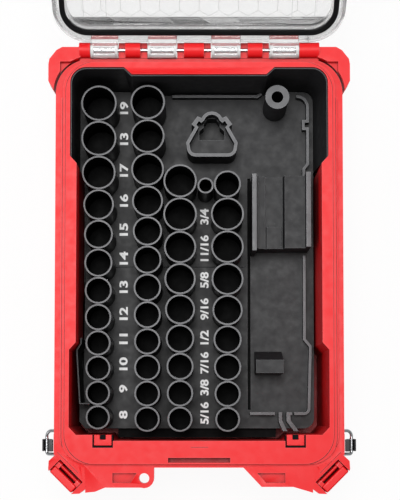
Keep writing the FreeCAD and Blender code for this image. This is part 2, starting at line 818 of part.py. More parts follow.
# Nest for the ratchet head: a heart-shaped wall with two ears, and inside it a
# deep pit behind a shelf.
nest = new_body("ratchet_head_holder")
nest_outline = outline(
    new_sketch(nest, "NestOutline", level="tray_deck_top"),
    [
        *arc_points(24.2, 103.8, 7.5, -90, 0), (32.3, 108.2), (24.9, 121.4), (27.8, 123.7),
        (22.8, 130.4), *arc_points(10.7, 125.1, 9.5, 24, 156), (-1.4, 130.4), (-6.4, 123.7),
        (-3.5, 121.4), (-10.9, 108.2), *arc_points(-2.8, 103.8, 7.5, 180, 270),
    ],
)
pad(nest, "NestPad", nest_outline, "nest_height")
nest_shelf = outline(
    new_sketch(nest, "NestShelf", level="tray_deck_top + nest_height"),
    [
        *arc_points(24.2, 103.8, 4.9, -90, 0), (29.7, 107.4), (22, 121.2), (23.9, 123.2),
        (21.6, 126.6), (19.6, 125), *arc_points(10.7, 125.1, 6.9, 15, 165), (1.8, 125),
        (-0.2, 126.6), (-2.5, 123.2), (-0.6, 121.2), (-8.3, 107.4),
        *arc_points(-2.8, 103.8, 4.9, 180, 270),
    ],
)
pocket(nest, "NestShelfCut", nest_shelf, "nest_height - nest_shelf_height")
nest_pit = outline(
    new_sketch(nest, "NestPit", level="tray_deck_top + nest_shelf_height"),
    [
        (0, 112.5), (21.4, 112.5), (21.4, 120.2), (17.5, 123.6), (17.5, 126.6), (14.2, 131),
        (7.2, 131), (3.9, 126.6), (3.9, 123.6), (0, 120.2),
    ],
)
pocket(nest, "NestPitCut", nest_pit, "nest_shelf_height - 3")

# Cradle: two walls with a stepped floor between them, open at both ends.
cradle = new_body("ratchet_cradle")
cradle_section = outline(
    new_sketch(cradle, "CradleSection", "XZ_Plane", -80.3),
    [
        ("cradle_left", "tray_deck_top"), ("cradle_right", "tray_deck_top"),
        ("cradle_right", "cradle_top"), ("cradle_right - cradle_right_wall", "cradle_top"),
        ("cradle_right - cradle_right_wall", "cradle_floor"), (71.7, "cradle_floor"),
        (70.6, "cradle_step - 2"), (55.9, "cradle_step - 2"), (55.9, "cradle_step"),
        (50, "cradle_step"), (50, "cradle_floor"), ("cradle_left + cradle_left_wall", "cradle_floor"),
        ("cradle_left + cradle_left_wall", "cradle_top"), ("cradle_left", "cradle_top"),
    ],
)
pad(cradle, "CradlePad", cradle_section, 61.4)
for name, left, right, front, rear, top in (
    ("Left", "cradle_left", "cradle_left + cradle_left_wall", 15.8, 20, "cradle_top"),
    ("Right", "cradle_right - cradle_right_wall", "cradle_right", 79, 81.9, "cradle_top"),
    ("Stop", 56.8, 69.4, 18.9, 37.6, "cradle_step"),
):
    end = outline(
        new_sketch(cradle, f"Cradle{name}", level="tray_deck_top"),
        rectangle(left, right, front, rear),
    )
    pad(cradle, f"Cradle{name}Pad", end, f"{top} - tray_deck_top")

# Wedge: a block with a sloping rear face that carries the ratchet's handle.
wedge = new_body("wedge_rest")
wedge_side = outline(
    new_sketch(wedge, "WedgeSide", "YZ_Plane", 47.3),
    [
        (-86, "tray_deck_top"), (-66.4, "tray_deck_top"),
        (-74.6, "tray_deck_top + wedge_height"), (-85.8, "tray_deck_top + wedge_height"),
    ],
)
pad(wedge, "WedgePad", wedge_side, 23.4)

# Channel ribs: two low walls at the front right of the deck, spread forwards.
ribs = new_body("channel_ribs")
arms = new_sketch(ribs, "ChannelArms", level="tray_deck_top")
outline(
    arms,
    [
        (67.5, "channel_rear"), (67.5, -126.2), (71, "channel_front"), (75.2, "channel_front"),
        (70.6, -125.4), (70.6, "channel_rear"),
    ],
)
outline(
    arms,
    [
        (74.1, "channel_rear"), (74.1, -126), (80.4, "channel_front"), (84.8, "channel_front"),
        (77.7, -125), (77.7, "channel_rear - 2.6"), (79.1, "channel_rear - 2.6"),
        (79.1, "channel_rear"),
    ],
)
pad(ribs, "ChannelArmPad", arms, "tray_rib_top - tray_deck_top")


def rounded_path(corners, radii):
    """Straight runs through the corners, joined by tangent arcs."""
    edges = []
    start = corners[0]
    for i, radius in enumerate(radii, start=1):
        before = (corners[i - 1] - corners[i]).normalize()
        after = (corners[i + 1] - corners[i]).normalize()
        half_turn = before.getAngle(after) / 2
        reach = radius / math.tan(half_turn)
        first = corners[i] + before * reach
        last = corners[i] + after * reach
        centre = corners[i] + (before + after).normalize() * (radius / math.sin(half_turn))
        middle = centre + (corners[i] - centre).normalize() * radius
        edges.append(Part.LineSegment(start, first).toShape())
        edges.append(Part.Arc(first, middle, last).toShape())
        start = last
    edges.append(Part.LineSegment(start, corners[-1]).toShape())
    return Part.Wire(edges)


# Side latches: a steel wire bail turns in the lug, and a black lever hangs on
# the bail's cross bar, which lies in a channel open upwards.
def bail_shape():
    x, z = value("latch_pivot_x"), value("latch_pivot_z")
    low_x, low_z = x + value("bail_reach"), z - value("bail_drop")
    front, rear = value("latch_front"), value("latch_rear")
    inset = 7.2
    corners = [
        FreeCAD.Vector(x, rear - inset, z),
        FreeCAD.Vector(x, rear, z),
        FreeCAD.Vector(low_x, rear, low_z),
        FreeCAD.Vector(low_x, front, low_z),
        FreeCAD.Vector(x, front, z),
        FreeCAD.Vector(x, front + inset, z),
    ]
    path = rounded_path(corners, (2.2, 5, 2.2, 2.2))
    end = Part.Circle(corners[0], FreeCAD.Vector(0, 1, 0), value("wire_radius"))
    profile = Part.Wire(end.toShape())
    return path.makePipeShell([profile], True, False)


bail = doc.addObject("Part::Feature", "BailRight")
bail.Shape = bail_shape()
part("latch_bail_right", bail)
mirrored("latch_bail_left", bail)

lever = new_body("latch_lever_right")
BAR = ("latch_pivot_x + bail_reach", "latch_pivot_z - bail_drop")
LEVER_SIDE = [
    (1.6, -26), (2.4, -27), (3.7, -25.5), (3.7, 1.2), (2.9, 2), (1.9, 1.2), (1.9, 0),
    (1.5, -1.2), (0, -1.9), (-1.5, -1.2), (-1.9, 0), (-1.9, 10.4), (-2.9, 11.6),
    (-6.6, 11.6), (-6.6, 9.3), (-4.3, 8.3), (-4.3, -2), (-1.5, -4.6), (1.6, -4.6),
]
lever_side = outline(
    new_sketch(lever, "LeverSide", "XZ_Plane", "-latch_rear + 7"),
    [(f"{BAR[0]} + {x}", f"{BAR[1]} + {z}") for x, z in LEVER_SIDE],
)
pad(lever, "LeverPad", lever_side, 10)
mirrored("latch_lever_left", lever)

# Corner levers: red flaps that turn on steel pins across the corner blocks.
PIN_HALF = 12.95


def diagonal_box(name, along, outward, low, size):
    """A box turned to the lever's pin: size is along it, inwards and up."""
    item = doc.addObject("Part::Box", name)
    item.Length, item.Width, item.Height = size
    item.Placement.Rotation = FreeCAD.Rotation(FreeCAD.Vector(0, 0, 1), 45)
    x, y = diagonal(along, outward)
    return move(item, x, y, f"corner_pin_z + {low}")


def diagonal_rod(name, radius, along, length):
    x, y = diagonal(along, 0)
    return cylinder(name, radius, length, (1, 1, 0), x=x, y=y, z="corner_pin_z")


def corner_lever():
    plate = diagonal_box("FlapPlate", -12.5, 9.8, -18.5, (25, 6.9, 22.5))
    rounded = doc.addObject("Part::Fillet", "FlapRound")
    rounded.Base = plate
    doc.recompute()
    rounded.Edges = [(number, 1.4, 1.4) for number in range(1, 13)]
    plate_and_hubs = [rounded]
    for side, start in (("Low", -12.4), ("High", 8.8)):
        plate_and_hubs.append(diagonal_rod(f"FlapHub{side}", 2.8, start, 3.6))
        plate_and_hubs.append(
            diagonal_box(f"FlapArm{side}", start, 4.5, -2.8, (3.6, 4.5, 5.6))
        )
    joined = doc.addObject("Part::MultiFuse", "FlapJoined")
    joined.Shapes = plate_and_hubs
    cut = doc.addObject("Part::Cut", "CornerLever")
    cut.Base = joined
    cut.Tool = diagonal_rod("FlapBore", "corner_pin_bore", -PIN_HALF, 2 * PIN_HALF)
    return cut


flap = part("corner_lever_right", corner_lever())
mirrored("corner_lever_left", flap)
flap_pin = part(
    "corner_lever_pin_right",
    diagonal_rod("CornerPin", "corner_pin_radius", -PIN_HALF, 2 * PIN_HALF),
)
mirrored("corner_lever_pin_left", flap_pin)


def check_document():
    for item in doc.Objects:
        bad = [state for state in item.State if state in ("Invalid", "Error")]
        assert not bad, (item.Name, item.State)
    for item in PARTS:
        assert not item.Shape.isNull() and item.Shape.isValid(), item.Label


doc.recompute()
check_document()
os.makedirs("parts", exist_ok=True)
for item in PARTS:
    item.Shape.exportStep(f"parts/{item.Label}.step")
    print(item.Label, round(item.Shape.Volume), len(item.Shape.Solids))
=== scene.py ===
import math

import bpy
from mathutils import Matrix, Vector


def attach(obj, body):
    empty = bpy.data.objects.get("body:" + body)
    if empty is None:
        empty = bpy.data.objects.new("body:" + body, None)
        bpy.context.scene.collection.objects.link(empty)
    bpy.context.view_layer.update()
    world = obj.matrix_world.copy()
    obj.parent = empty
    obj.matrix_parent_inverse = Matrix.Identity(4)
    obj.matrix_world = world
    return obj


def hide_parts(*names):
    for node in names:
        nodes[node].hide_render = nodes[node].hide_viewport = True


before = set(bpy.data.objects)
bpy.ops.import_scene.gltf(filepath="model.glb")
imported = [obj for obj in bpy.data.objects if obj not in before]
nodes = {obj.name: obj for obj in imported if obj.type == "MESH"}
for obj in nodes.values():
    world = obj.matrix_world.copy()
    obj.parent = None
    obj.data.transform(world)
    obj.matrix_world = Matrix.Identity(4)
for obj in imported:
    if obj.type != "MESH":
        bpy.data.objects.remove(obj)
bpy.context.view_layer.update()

# Box shell: one injection moulding in red ABS with a satin, spark-eroded skin.
# The rim with its seal land, the corner blocks, the horns, the bail lugs and
# the hinge knuckles are all part of it.
MM = 0.001


def linear(code):
    """An sRGB hex colour as linear RGBA."""
    channels = [int(code[i : i + 2], 16) / 255 for i in (1, 3, 5)]
    return (
        *(c / 12.92 if c <= 0.04045 else ((c + 0.055) / 1.055) ** 2.4 for c in channels),
        1.0,
    )


def add(tree, kind, inputs=None, **settings):
    """Add a node. An input's value is a number, a colour or another socket."""
    node = tree.nodes.new(kind)
    for name, setting in settings.items():
        setattr(node, name, setting)
    for name, content in (inputs or {}).items():
        socket = node.inputs[name]
        if isinstance(content, bpy.types.NodeSocket):
            tree.links.new(content, socket)
        else:
            socket.default_value = content
    return node


def new_material(name):
    """A material with an empty tree."""
    material = bpy.data.materials.new(name)
    material.use_nodes = True
    material.node_tree.nodes.clear()
    return material, material.node_tree


# Socket numbers of a Mix node that blends colours.
TONE_A, TONE_B, TONE_OUT = 6, 7, 2


def moulded_plastic(
    name, colour, deep, edge_wear_and_highlight, painted_gap_shade, roughness, grain_mm, grain_height_mm, gloss
):
    """Moulded plastic: a slow drift of tone from the flow of the melt, a
    spark-eroded grain, edges painted paler (wear and a painted highlight), dust
    that dulls the flats and painted shade that darkens the gaps. The real grain
    is 0.1 to 0.3 mm across, too fine to show, so grain_mm draws it coarser."""
    drift_mm, scuff_mm, pale_edge_mm, shade_reach_mm = 55, 7, 0.9, 34
    material, tree = new_material(name)
    place = add(tree, "ShaderNodeTexCoord").outputs["Object"]
    drift = add(
        tree, "ShaderNodeTexNoise",
        {"Vector": place, "Scale": 1 / (drift_mm * MM), "Detail": 2.0},
    )
    tone = add(
        tree, "ShaderNodeMix",
        {"Factor": drift.outputs["Fac"], TONE_A: linear(deep), TONE_B: linear(colour)},
        data_type="RGBA",
    )
    # An edge is where the rounded normal turns away from the face's own.
    rounded = add(tree, "ShaderNodeBevel", {"Radius": pale_edge_mm * MM}, samples=4)
    turned_away = add(
        tree, "ShaderNodeVectorMath",
        {0: rounded.outputs[0], 1: add(tree, "ShaderNodeNewGeometry").outputs["Normal"]},
        operation="DOT_PRODUCT",
    )
    edge = add(
        tree, "ShaderNodeMapRange",
        {
            "Value": turned_away.outputs["Value"], "From Min": 0.985, "From Max": 0.8,
            "To Min": 0.0, "To Max": 1.2,
        },
    )
    scuffs = add(
        tree, "ShaderNodeTexNoise",
        {"Vector": place, "Scale": 1 / (scuff_mm * MM), "Detail": 5.0},
    )
    # Edges are painted paler: partly rubbed wear, partly a painted highlight.
    wear_highlight_mask = add(
        tree, "ShaderNodeMath", {0: edge.outputs[0], 1: scuffs.outputs["Fac"]},
        operation="MULTIPLY",
    )
    skin = add(
        tree, "ShaderNodeMix",
        {"Factor": wear_highlight_mask.outputs[0], TONE_A: tone.outputs[TONE_OUT], TONE_B: linear(edge_wear_and_highlight)},
        data_type="RGBA",
    )
    # Painted shade: where the walls close in, the colour goes over to the dark shade tone.
    shade_occlusion = add(tree, "ShaderNodeAmbientOcclusion", {"Distance": shade_reach_mm * MM}, samples=6)
    unshaded = add(
        tree, "ShaderNodeMapRange",
        {
            "Value": shade_occlusion.outputs["AO"], "From Min": 0.12, "From Max": 0.62,
            "To Min": 0.12, "To Max": 1.0,
        },
    )
    shaded = add(
        tree, "ShaderNodeMix",
        {"Factor": unshaded.outputs[0], TONE_A: linear(painted_gap_shade), TONE_B: skin.outputs[TONE_OUT]},
        data_type="RGBA",
    )
    dull = add(
        tree, "ShaderNodeMapRange",
        {
            "Value": scuffs.outputs["Fac"], "From Min": 0.3, "From Max": 0.75,
            "To Min": roughness - 0.05, "To Max": roughness + 0.09,
        },
    )
    grain = add(
        tree, "ShaderNodeTexNoise",
        {"Vector": place, "Scale": 1 / (grain_mm * MM), "Detail": 3.0, "Roughness": 0.6},
    )
    bump = add(
        tree, "ShaderNodeBump",
        {"Height": grain.outputs["Fac"], "Strength": 0.6, "Distance": grain_height_mm * MM},
    )
    shader = add(
        tree, "ShaderNodeBsdfPrincipled",
        {
            "Base Color": shaded.outputs[TONE_OUT], "Roughness": dull.outputs[0], "IOR": 1.53,
            "Specular IOR Level": gloss, "Normal": bump.outputs[0],
        },
    )
    add(tree, "ShaderNodeOutputMaterial", {"Surface": shader.outputs[0]})
    return material


def only(piece):
    """Make one object the only selected one, and the active one."""
    bpy.ops.object.select_all(action="DESELECT")
    piece.select_set(True)
    bpy.context.view_layer.objects.active = piece
    return piece


def edit(piece, *steps):
    """Run edit-mode operators on all of a piece. A step is an operator and its settings."""
    only(piece)
    bpy.ops.object.mode_set(mode="EDIT")
    bpy.ops.mesh.select_all(action="SELECT")
    for operator, settings in steps:
        operator(**settings)
    bpy.ops.object.mode_set(mode="OBJECT")
    return piece


def finish_modifier(piece, kind, **settings):
    """Add a modifier and apply it."""
    only(piece)
    modifier = piece.modifiers.new(kind.lower(), kind)
    for name, setting in settings.items():
        setattr(modifier, name, setting)
    bpy.ops.object.modifier_apply(modifier=modifier.name)
    return piece


def cut(piece, tool, operation="DIFFERENCE"):
    """Cut a piece with a tool, or join them, and drop the tool."""
    finish_modifier(piece, "BOOLEAN", operation=operation, object=tool, solver="EXACT")
    bpy.data.objects.remove(tool)
    return piece


def wear(piece, material):
    """Give a piece one material all over."""
    piece.data.materials.clear()
    piece.data.materials.append(material)
    return piece


# Faces within this angle of each other count as one flat face.
FLAT = math.radians(1)


def cleaned_copy(node_name, name):
    """A copy of a CAD node with its flat faces whole and its doubles merged."""
    piece = bpy.data.objects.new(name, nodes[node_name].data.copy())
    bpy.context.scene.collection.objects.link(piece)
    return edit(
        piece,
        (bpy.ops.mesh.remove_doubles, {"threshold": 0.002 * MM}),
        (bpy.ops.mesh.dissolve_limited, {"angle_limit": FLAT}),
    )


def soften(piece, edge_mm, segments=2):
    """Round the sharp edges as the mould does, and shade only the curved faces smooth."""
    sharp, curved = math.radians(40), math.radians(32)
    finish_modifier(
        piece, "BEVEL", width=edge_mm * MM, segments=segments, limit_method="ANGLE",
        angle_limit=sharp, use_clamp_overlap=True,
    )
    bpy.ops.object.shade_smooth_by_angle(angle=curved)
    return finish_modifier(piece, "WEIGHTED_NORMAL", keep_sharp=True)


def stand_for(piece, body, *node_names):
    """The piece takes the place of CAD nodes and moves with their body."""
    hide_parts(*node_names)
    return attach(piece, body)


def block(size, centre):
    """A plain block of a size about a centre, in millimetres."""
    bpy.ops.object.select_all(action="DESELECT")
    bpy.ops.mesh.primitive_cube_add(size=1, location=[c * MM for c in centre])
    cutter = bpy.context.object
    cutter.dimensions = [s * MM for s in size]
    bpy.ops.object.transform_apply(location=True, rotation=True, scale=True)
    return cutter


def rounded_block(size, centre, radius):
    """A block whose four upright edges are rounded, in millimetres."""
    cutter = block(size, centre)
    bpy.context.tool_settings.mesh_select_mode = (False, True, False)
    for item in (*cutter.data.vertices, *cutter.data.polygons):
        item.select = False
    for edge in cutter.data.edges:
        ends = [cutter.data.vertices[i].co for i in edge.vertices]
        edge.select = abs(ends[0].z - ends[1].z) > 0.5 * size[2] * MM
    bpy.ops.object.mode_set(mode="EDIT")
    bpy.ops.mesh.bevel(offset=radius * MM, segments=12)
    bpy.ops.object.mode_set(mode="OBJECT")
    return cutter


# Satin ABS shows one even, warm red with a broad soft sheen.
# One of these tones is painted shade for the gaps, and another pales the edges, partly as wear and
# partly as painted highlight.
RED_TONES = {"colour": "#F01A1F", "deep": "#E81419", "edge_wear_and_highlight": "#FB6A6C", "painted_gap_shade": "#8C0306"}
RED = moulded_plastic(
    "red_abs_satin", **RED_TONES, roughness=0.42, grain_mm=0.9, grain_height_mm=0.02, gloss=0.3
)
BASE_NODES = (
    "base_shell", "corner_block_left", "corner_block_right", "bail_lug_left", "bail_lug_right",
)
shell = cleaned_copy("base_shell", "box_shell")
for node_name in BASE_NODES[1:]:
    cut(shell, cleaned_copy(node_name, "mating_moulding"), "UNION")
RIM_TOP = 102
LAND_WIDTH, LAND_LENGTH, LAND_RADIUS = 217.8, 328, 24
LAND_CENTRE = (0, 3.6, RIM_TOP)


def land_block(reach, height, radius=LAND_RADIUS):
    """A block with the seal land's outline, moved outwards by reach."""
    size = (LAND_WIDTH + 2 * reach, LAND_LENGTH + 2 * reach, height)
    return rounded_block(size, LAND_CENTRE, radius)


# The seal land stands a little above the band round it, with rounded corners.
BAND_DROP = 1.2
band = block((227, 328.9, 2 * BAND_DROP), (0, 3.45, RIM_TOP))
cut(band, land_block(0, 10))
cut(shell, band)
# At the rear corners the band drops away, towards the gap inside each horn.
for side in (-1, 1):
    well = block((30, 30, 11), (side * 98.6, 153, RIM_TOP + 0.5))
    cut(well, land_block(2.3, 24, radius=26))
    cut(shell, well)
# Two fine lines run round the land, and one short line marks its front middle.
LINE_WIDTH = 0.5
for reach in (-0.3, 2.1):
    cut(shell, cut(land_block(reach + LINE_WIDTH, 5.2), land_block(reach, 8)))
cut(shell, block((13.8, 0.7, 1.6), (0.3, -146.7, RIM_TOP)))
# Between its own knuckles the rim carries low shelves, under the lid's knuckles.
LID_KNUCKLES = ((-88.6, -66.4), (-42.0, -18.4), (10.0, 33.6), (57.7, 81.4))
SHELF_DEPTH, SHELF_HEIGHT = 7.4, 5.2
for left, right in LID_KNUCKLES:
    shelf = block((right - left + 2, SHELF_DEPTH, SHELF_HEIGHT), ((left + right) / 2, 169.7, 90.6))
    cut(shell, shelf, "UNION")
# A fine groove sets each corner block apart from the flange.
FLANGE_TOP = 97
GROOVE_X, GROOVE_Y = 106.1, -159.2
for side in (-1, 1):
    groove = block((23.8, 0.8, 1.6), (0, 0, FLANGE_TOP))
    groove.data.transform(Matrix.Rotation(math.radians(45 * side), 4, "Z"))
    groove.data.transform(Matrix.Translation((side * GROOVE_X * MM, GROOVE_Y * MM, 0)))
    cut(shell, groove)
edit(shell, (bpy.ops.mesh.dissolve_limited, {"angle_limit": FLAT}))
wear(soften(shell, 0.5), RED)
stand_for(shell, "box", *BASE_NODES)

# Clips: two small U-shaped mouldings in the shell's red ABS, pushed into the
# notches of the front rim, where they hold the tray's front edge down.
for side in ("left", "right"):
    clip = cleaned_copy(f"tray_clip_{side}", f"tray_clip_{side}_red")
    wear(soften(clip, 0.5), RED)
    stand_for(clip, "box", f"tray_clip_{side}")

# Clip seats: near-black cups in the notches round the clips, each with a tongue that fills its
# clip's slot.
# They are painted shade, standing for the dark gap round each clip and in its slot. Both are one
# piece.


def moved_copy(piece, shift):
    """A copy of a piece with its own mesh, moved by millimetres."""
    twin = piece.copy()
    twin.data = piece.data.copy()
    bpy.context.scene.collection.objects.link(twin)
    twin.data.transform(Matrix.Translation([s * MM for s in shift]))
    return twin


# Painted shade: a near black with hardly a sheen, for the pieces and faces that stand for deep
# shade in notches, gaps and well floors.
SHADE_BLACK = moulded_plastic(
    "near_black_shade_stand_in", colour="#0B0B0C", deep="#080809", edge_wear_and_highlight="#262628",
    painted_gap_shade="#020202", roughness=0.7, grain_mm=0.7, grain_height_mm=0.018, gloss=0.1,
)
CLIP_X = 77.6
NOTCH_SHADE_HEIGHT = 95.5
left_notch_shade = block((16.4, 9.8, 10.8), (-CLIP_X, -142.0, NOTCH_SHADE_HEIGHT))
cut(left_notch_shade, block((14.5, 12, 12), (-CLIP_X, -139.4, NOTCH_SHADE_HEIGHT)))
slot_shade = block((4.4, 3.7, 10.4), (-CLIP_X, -138.5, NOTCH_SHADE_HEIGHT - 0.2))
cut(left_notch_shade, slot_shade, "UNION")
wear(left_notch_shade, SHADE_BLACK)
right_notch_shade = moved_copy(left_notch_shade, (2 * CLIP_X, 0, 0))
for notch_shade, side in ((left_notch_shade, "left"), (right_notch_shade, "right")):
    notch_shade.name = f"clip_notch_shade_{side}"
    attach(notch_shade, "box")

# Corner flaps: moulded in red ABS like the shell, each on a red pivot bar that
# is pressed into its corner block at 45 degrees.

# Handling has polished this ABS, so its sheen is tighter than the shell's.
FLAP_RED = moulded_plastic(
    "red_abs_polished", **RED_TONES, roughness=0.34, grain_mm=0.9, grain_height_mm=0.012,
    gloss=0.32,
)
for side in ("left", "right"):
    flap = cleaned_copy(f"corner_lever_{side}", f"corner_flap_{side}_red")
    wear(soften(flap, 0.25), FLAP_RED)
    stand_for(flap, f"corner_flap_{side}", f"corner_lever_{side}")
    wear(nodes[f"corner_lever_pin_{side}"], RED)

# Hinge pin and bails: drawn steel wire with bright zinc plating. The pin runs
# through all the knuckles, and each bail is a bent loop, sprung into its lug.

# The plating is cloudy: grey patches a few millimetres wide, some duller.
steel, tree = new_material("zinc_plated_steel_wire")
place = add(tree, "ShaderNodeTexCoord").outputs["Object"]
cloud = add(tree, "ShaderNodeTexNoise", {"Vector": place, "Scale": 1 / (4 * MM), "Detail": 4.0})
plate_tone = add(
    tree, "ShaderNodeMix",
    {"Factor": cloud.outputs["Fac"], TONE_A: linear("#9A9C9F"), TONE_B: linear("#D3D4D6")},
    data_type="RGBA",
)
plate_rough = add(
    tree, "ShaderNodeMapRange",
    {
        "Value": cloud.outputs["Fac"], "From Min": 0.3, "From Max": 0.7,
        "To Min": 0.18, "To Max": 0.34,
    },
)
steel_shader = add(
    tree, "ShaderNodeBsdfPrincipled",
    {
        "Base Color": plate_tone.outputs[TONE_OUT], "Metallic": 1.0,
        "Roughness": plate_rough.outputs[0],
    },
)
add(tree, "ShaderNodeOutputMaterial", {"Surface": steel_shader.outputs[0]})
for node_name in ("hinge_pin", "latch_bail_left", "latch_bail_right"):
    wear(nodes[node_name], steel)

# Latch levers: moulded in black glass-filled nylon, each snapped over the cross
# bar of its bail, where it hangs free.

# The nylon is satin from handling, with a brighter sheen than the tray's.
NYLON = moulded_plastic(
    "black_nylon_satin", colour="#1E1E20", deep="#18181A", edge_wear_and_highlight="#515155", painted_gap_shade="#020202",
    roughness=0.38, grain_mm=0.6, grain_height_mm=0.012, gloss=0.4,
)
for side in ("left", "right"):
    lever = cleaned_copy(f"latch_lever_{side}", f"latch_lever_{side}_black")
    wear(soften(lever, 0.5, 3), NYLON)
    stand_for(lever, f"latch_{side}", f"latch_lever_{side}")

# Socket tray: one injection moulding in black polypropylene that drops into the
# box: deck, cups, post, ratchet nest, cradle, wedge and channel.

# The matt skin is a soft charcoal; its edges are painted paler, partly wear and partly a painted
# highlight.
BLACK = moulded_plastic(
    "black_polypropylene_matt", colour="#262628", deep="#202022", edge_wear_and_highlight="#8A8B8E",
    painted_gap_shade="#020202", roughness=0.5, grain_mm=0.7, grain_height_mm=0.018, gloss=0.3,
)
# The lips are painted greyer, a painted highlight where light falls on the top faces, and are
# glossier.
LIP_HIGHLIGHT_BLACK = moulded_plastic(
    "black_polypropylene_lip_highlight", colour="#5A5A5D", deep="#505053", edge_wear_and_highlight="#A0A1A4",
    painted_gap_shade="#020202", roughness=0.4, grain_mm=0.7, grain_height_mm=0.012, gloss=0.4,
)
DECK_TOP = 45
CUP_TOP = 85
CUP_FLOOR = 53
# Each part's lip, which takes the painted highlight, lies at this height. The wedge has none.
LIPS = {
    "tray_deck": 52, "metric_cups_left": CUP_TOP, "metric_cups_right": CUP_TOP,
    "inch_cups_left": CUP_TOP, "inch_cups_right": CUP_TOP, "adapter_cup": CUP_TOP,
    "extension_post": CUP_TOP, "ratchet_head_holder": 72, "ratchet_cradle": 80,
    "wedge_rest": 0, "channel_ribs": 52,
}
for node_name, lip_height in LIPS.items():
    piece = cleaned_copy(node_name, f"{node_name}_black")
    if node_name == "tray_deck":
        seam = block((138, 0.5, 0.8), (-28.5, 6.4, DECK_TOP))
        cut(piece, seam)
    wear(soften(piece, 0.3), BLACK)
    piece.data.materials.append(SHADE_BLACK)
    piece.data.materials.append(LIP_HIGHLIGHT_BLACK)
    for face in piece.data.polygons:
        heights = [piece.data.vertices[i].co.z / MM for i in face.vertices]
        # The lips take the painted highlight, and the cups' bore floors the near-black painted
        # shade.
        if lip_height - 0.4 < min(heights) and max(heights) < lip_height + 0.1:
            face.material_index = 2
        elif "cup" in node_name and CUP_FLOOR - 1 < min(heights) < CUP_FLOOR + 1:
            face.material_index = 1
    stand_for(piece, "tray", node_name)

# Front skirt and slot web: near-black painted shade riding on the tray. The skirt fills the gap to
# the front wall, and the web closes the deck's long slot from below, so both show as deep
# shade.
for name, size, centre in (
    ("tray_front_gap_shade", (135.5, 7.6, 12), (-1.75, -136.05, 34)),
    ("tray_slot_shade", (3.8, 204, 2), (42.8, -15.5, 41.2)),
):
    shade_filler = block(size, centre)
    shade_filler.name = name
    wear(soften(shade_filler, 0.2), SHADE_BLACK)
    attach(shade_filler, "tray")

# Size numbers: figures pad-printed in white ink on the deck, each beside its
# cup, and read from the box's right side.


def join(pieces, name):
    """Join pieces into the first of them."""
    bpy.ops.object.select_all(action="DESELECT")
    for piece in pieces:
        piece.select_set(True)
    bpy.context.view_layer.objects.active = pieces[0]
    bpy.ops.object.join()
    pieces[0].name = name
    return pieces[0]


# The ink is matt, and thin in specks, so the white is not quite even. The specks
# are drawn coarser than real ones.
print_white, tree = new_material("white_pad_printing")
place = add(tree, "ShaderNodeTexCoord").outputs["Object"]
speckle = add(
    tree, "ShaderNodeTexNoise", {"Vector": place, "Scale": 1 / (0.6 * MM), "Detail": 2.0}
)
ink = add(
    tree, "ShaderNodeMix",
    {"Factor": speckle.outputs["Fac"], TONE_A: linear("#E9E9E9"), TONE_B: linear("#FFFFFF")},
    data_type="RGBA",
)
ink_shader = add(
    tree, "ShaderNodeBsdfPrincipled", {"Base Color": ink.outputs[TONE_OUT], "Roughness": 0.55}
)
add(tree, "ShaderNodeOutputMaterial", {"Surface": ink_shader.outputs[0]})
FIGURE_HEIGHT = 7.3
PRINT_DEPTH = 0.06
STROKE_GAIN = 0.032
RAW_EXTRUDE = 0.004
METRIC_SIZES = (
    ("19", 145.0), ("13", 117.9), ("17", 90.8), ("16", 64.3), ("15", 39.1), ("14", 14.3),
    ("13", -10.6), ("12", -33.6), ("11", -55.5), ("10", -76.8), ("9", -98.2), ("8", -120.5),
)
INCH_SIZES = (
    ("3/4", 50.2), ("11/16", 22.9), ("5/8", -4.7), ("9/16", -29.8), ("1/2", -54.1),
    ("7/16", -76.0), ("3/8", -97.1), ("5/16", -119.1),
)
for row, x, widened, sizes in (
    ("metric", -65.0, 1.45, METRIC_SIZES), ("inch", 4.5, 1.2, INCH_SIZES),
):
    figures = []
    for words, y in sizes:
        bpy.ops.object.select_all(action="DESELECT")
        bpy.ops.object.text_add()
        figure = bpy.context.object
        figure.data.body = words
        figure.data.offset = STROKE_GAIN
        figure.data.space_character = 0.95
        figure.data.extrude = RAW_EXTRUDE
        figure.data.align_x = "CENTER"
        figure.data.align_y = "CENTER"
        figure.data.resolution_u = 3
        bpy.ops.object.convert(target="MESH")
        scale = FIGURE_HEIGHT * MM / figure.dimensions.y
        flattened = PRINT_DEPTH * MM / (2 * RAW_EXTRUDE)
        centre = sum((Vector(corner) for corner in figure.bound_box), Vector()) / 8
        figure.data.transform(Matrix.Translation(-centre))
        figure.data.transform(Matrix.Diagonal((widened * scale, scale, flattened, 1)))
        figure.data.transform(Matrix.Rotation(math.radians(90), 4, "Z"))
        middle = (x, y, DECK_TOP + PRINT_DEPTH / 2)
        figure.data.transform(Matrix.Translation([m * MM for m in middle]))
        figures.append(figure)
    numbers = join(figures, f"size_numbers_{row}")
    wear(numbers, print_white)
    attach(numbers, "tray")

# Lid: one moulding in clear polycarbonate, with its knuckles, its front tongue
# and the padlock tab. It turns on the hinge pin.

# Polycarbonate is glossy and bends light strongly, and handling hazes it in patches.
clear, tree = new_material("clear_polycarbonate")
place = add(tree, "ShaderNodeTexCoord").outputs["Object"]
haze = add(tree, "ShaderNodeTexNoise", {"Vector": place, "Scale": 1 / (9 * MM), "Detail": 4.0})
haze_rough = add(
    tree, "ShaderNodeMapRange",
    {
        "Value": haze.outputs["Fac"], "From Min": 0.3, "From Max": 0.7,
        "To Min": 0.03, "To Max": 0.09,
    },
)
clear_shader = add(
    tree, "ShaderNodeBsdfPrincipled",
    {
        "Base Color": linear("#FFFFFF"), "Roughness": haze_rough.outputs[0], "IOR": 1.586,
        "Transmission Weight": 0.82,
    },
)
add(tree, "ShaderNodeOutputMaterial", {"Surface": clear_shader.outputs[0]})
lid = cleaned_copy("lid_shell", "lid_shell_clear")
wear(soften(lid, 0.4), clear)
stand_for(lid, "lid", "lid_shell")

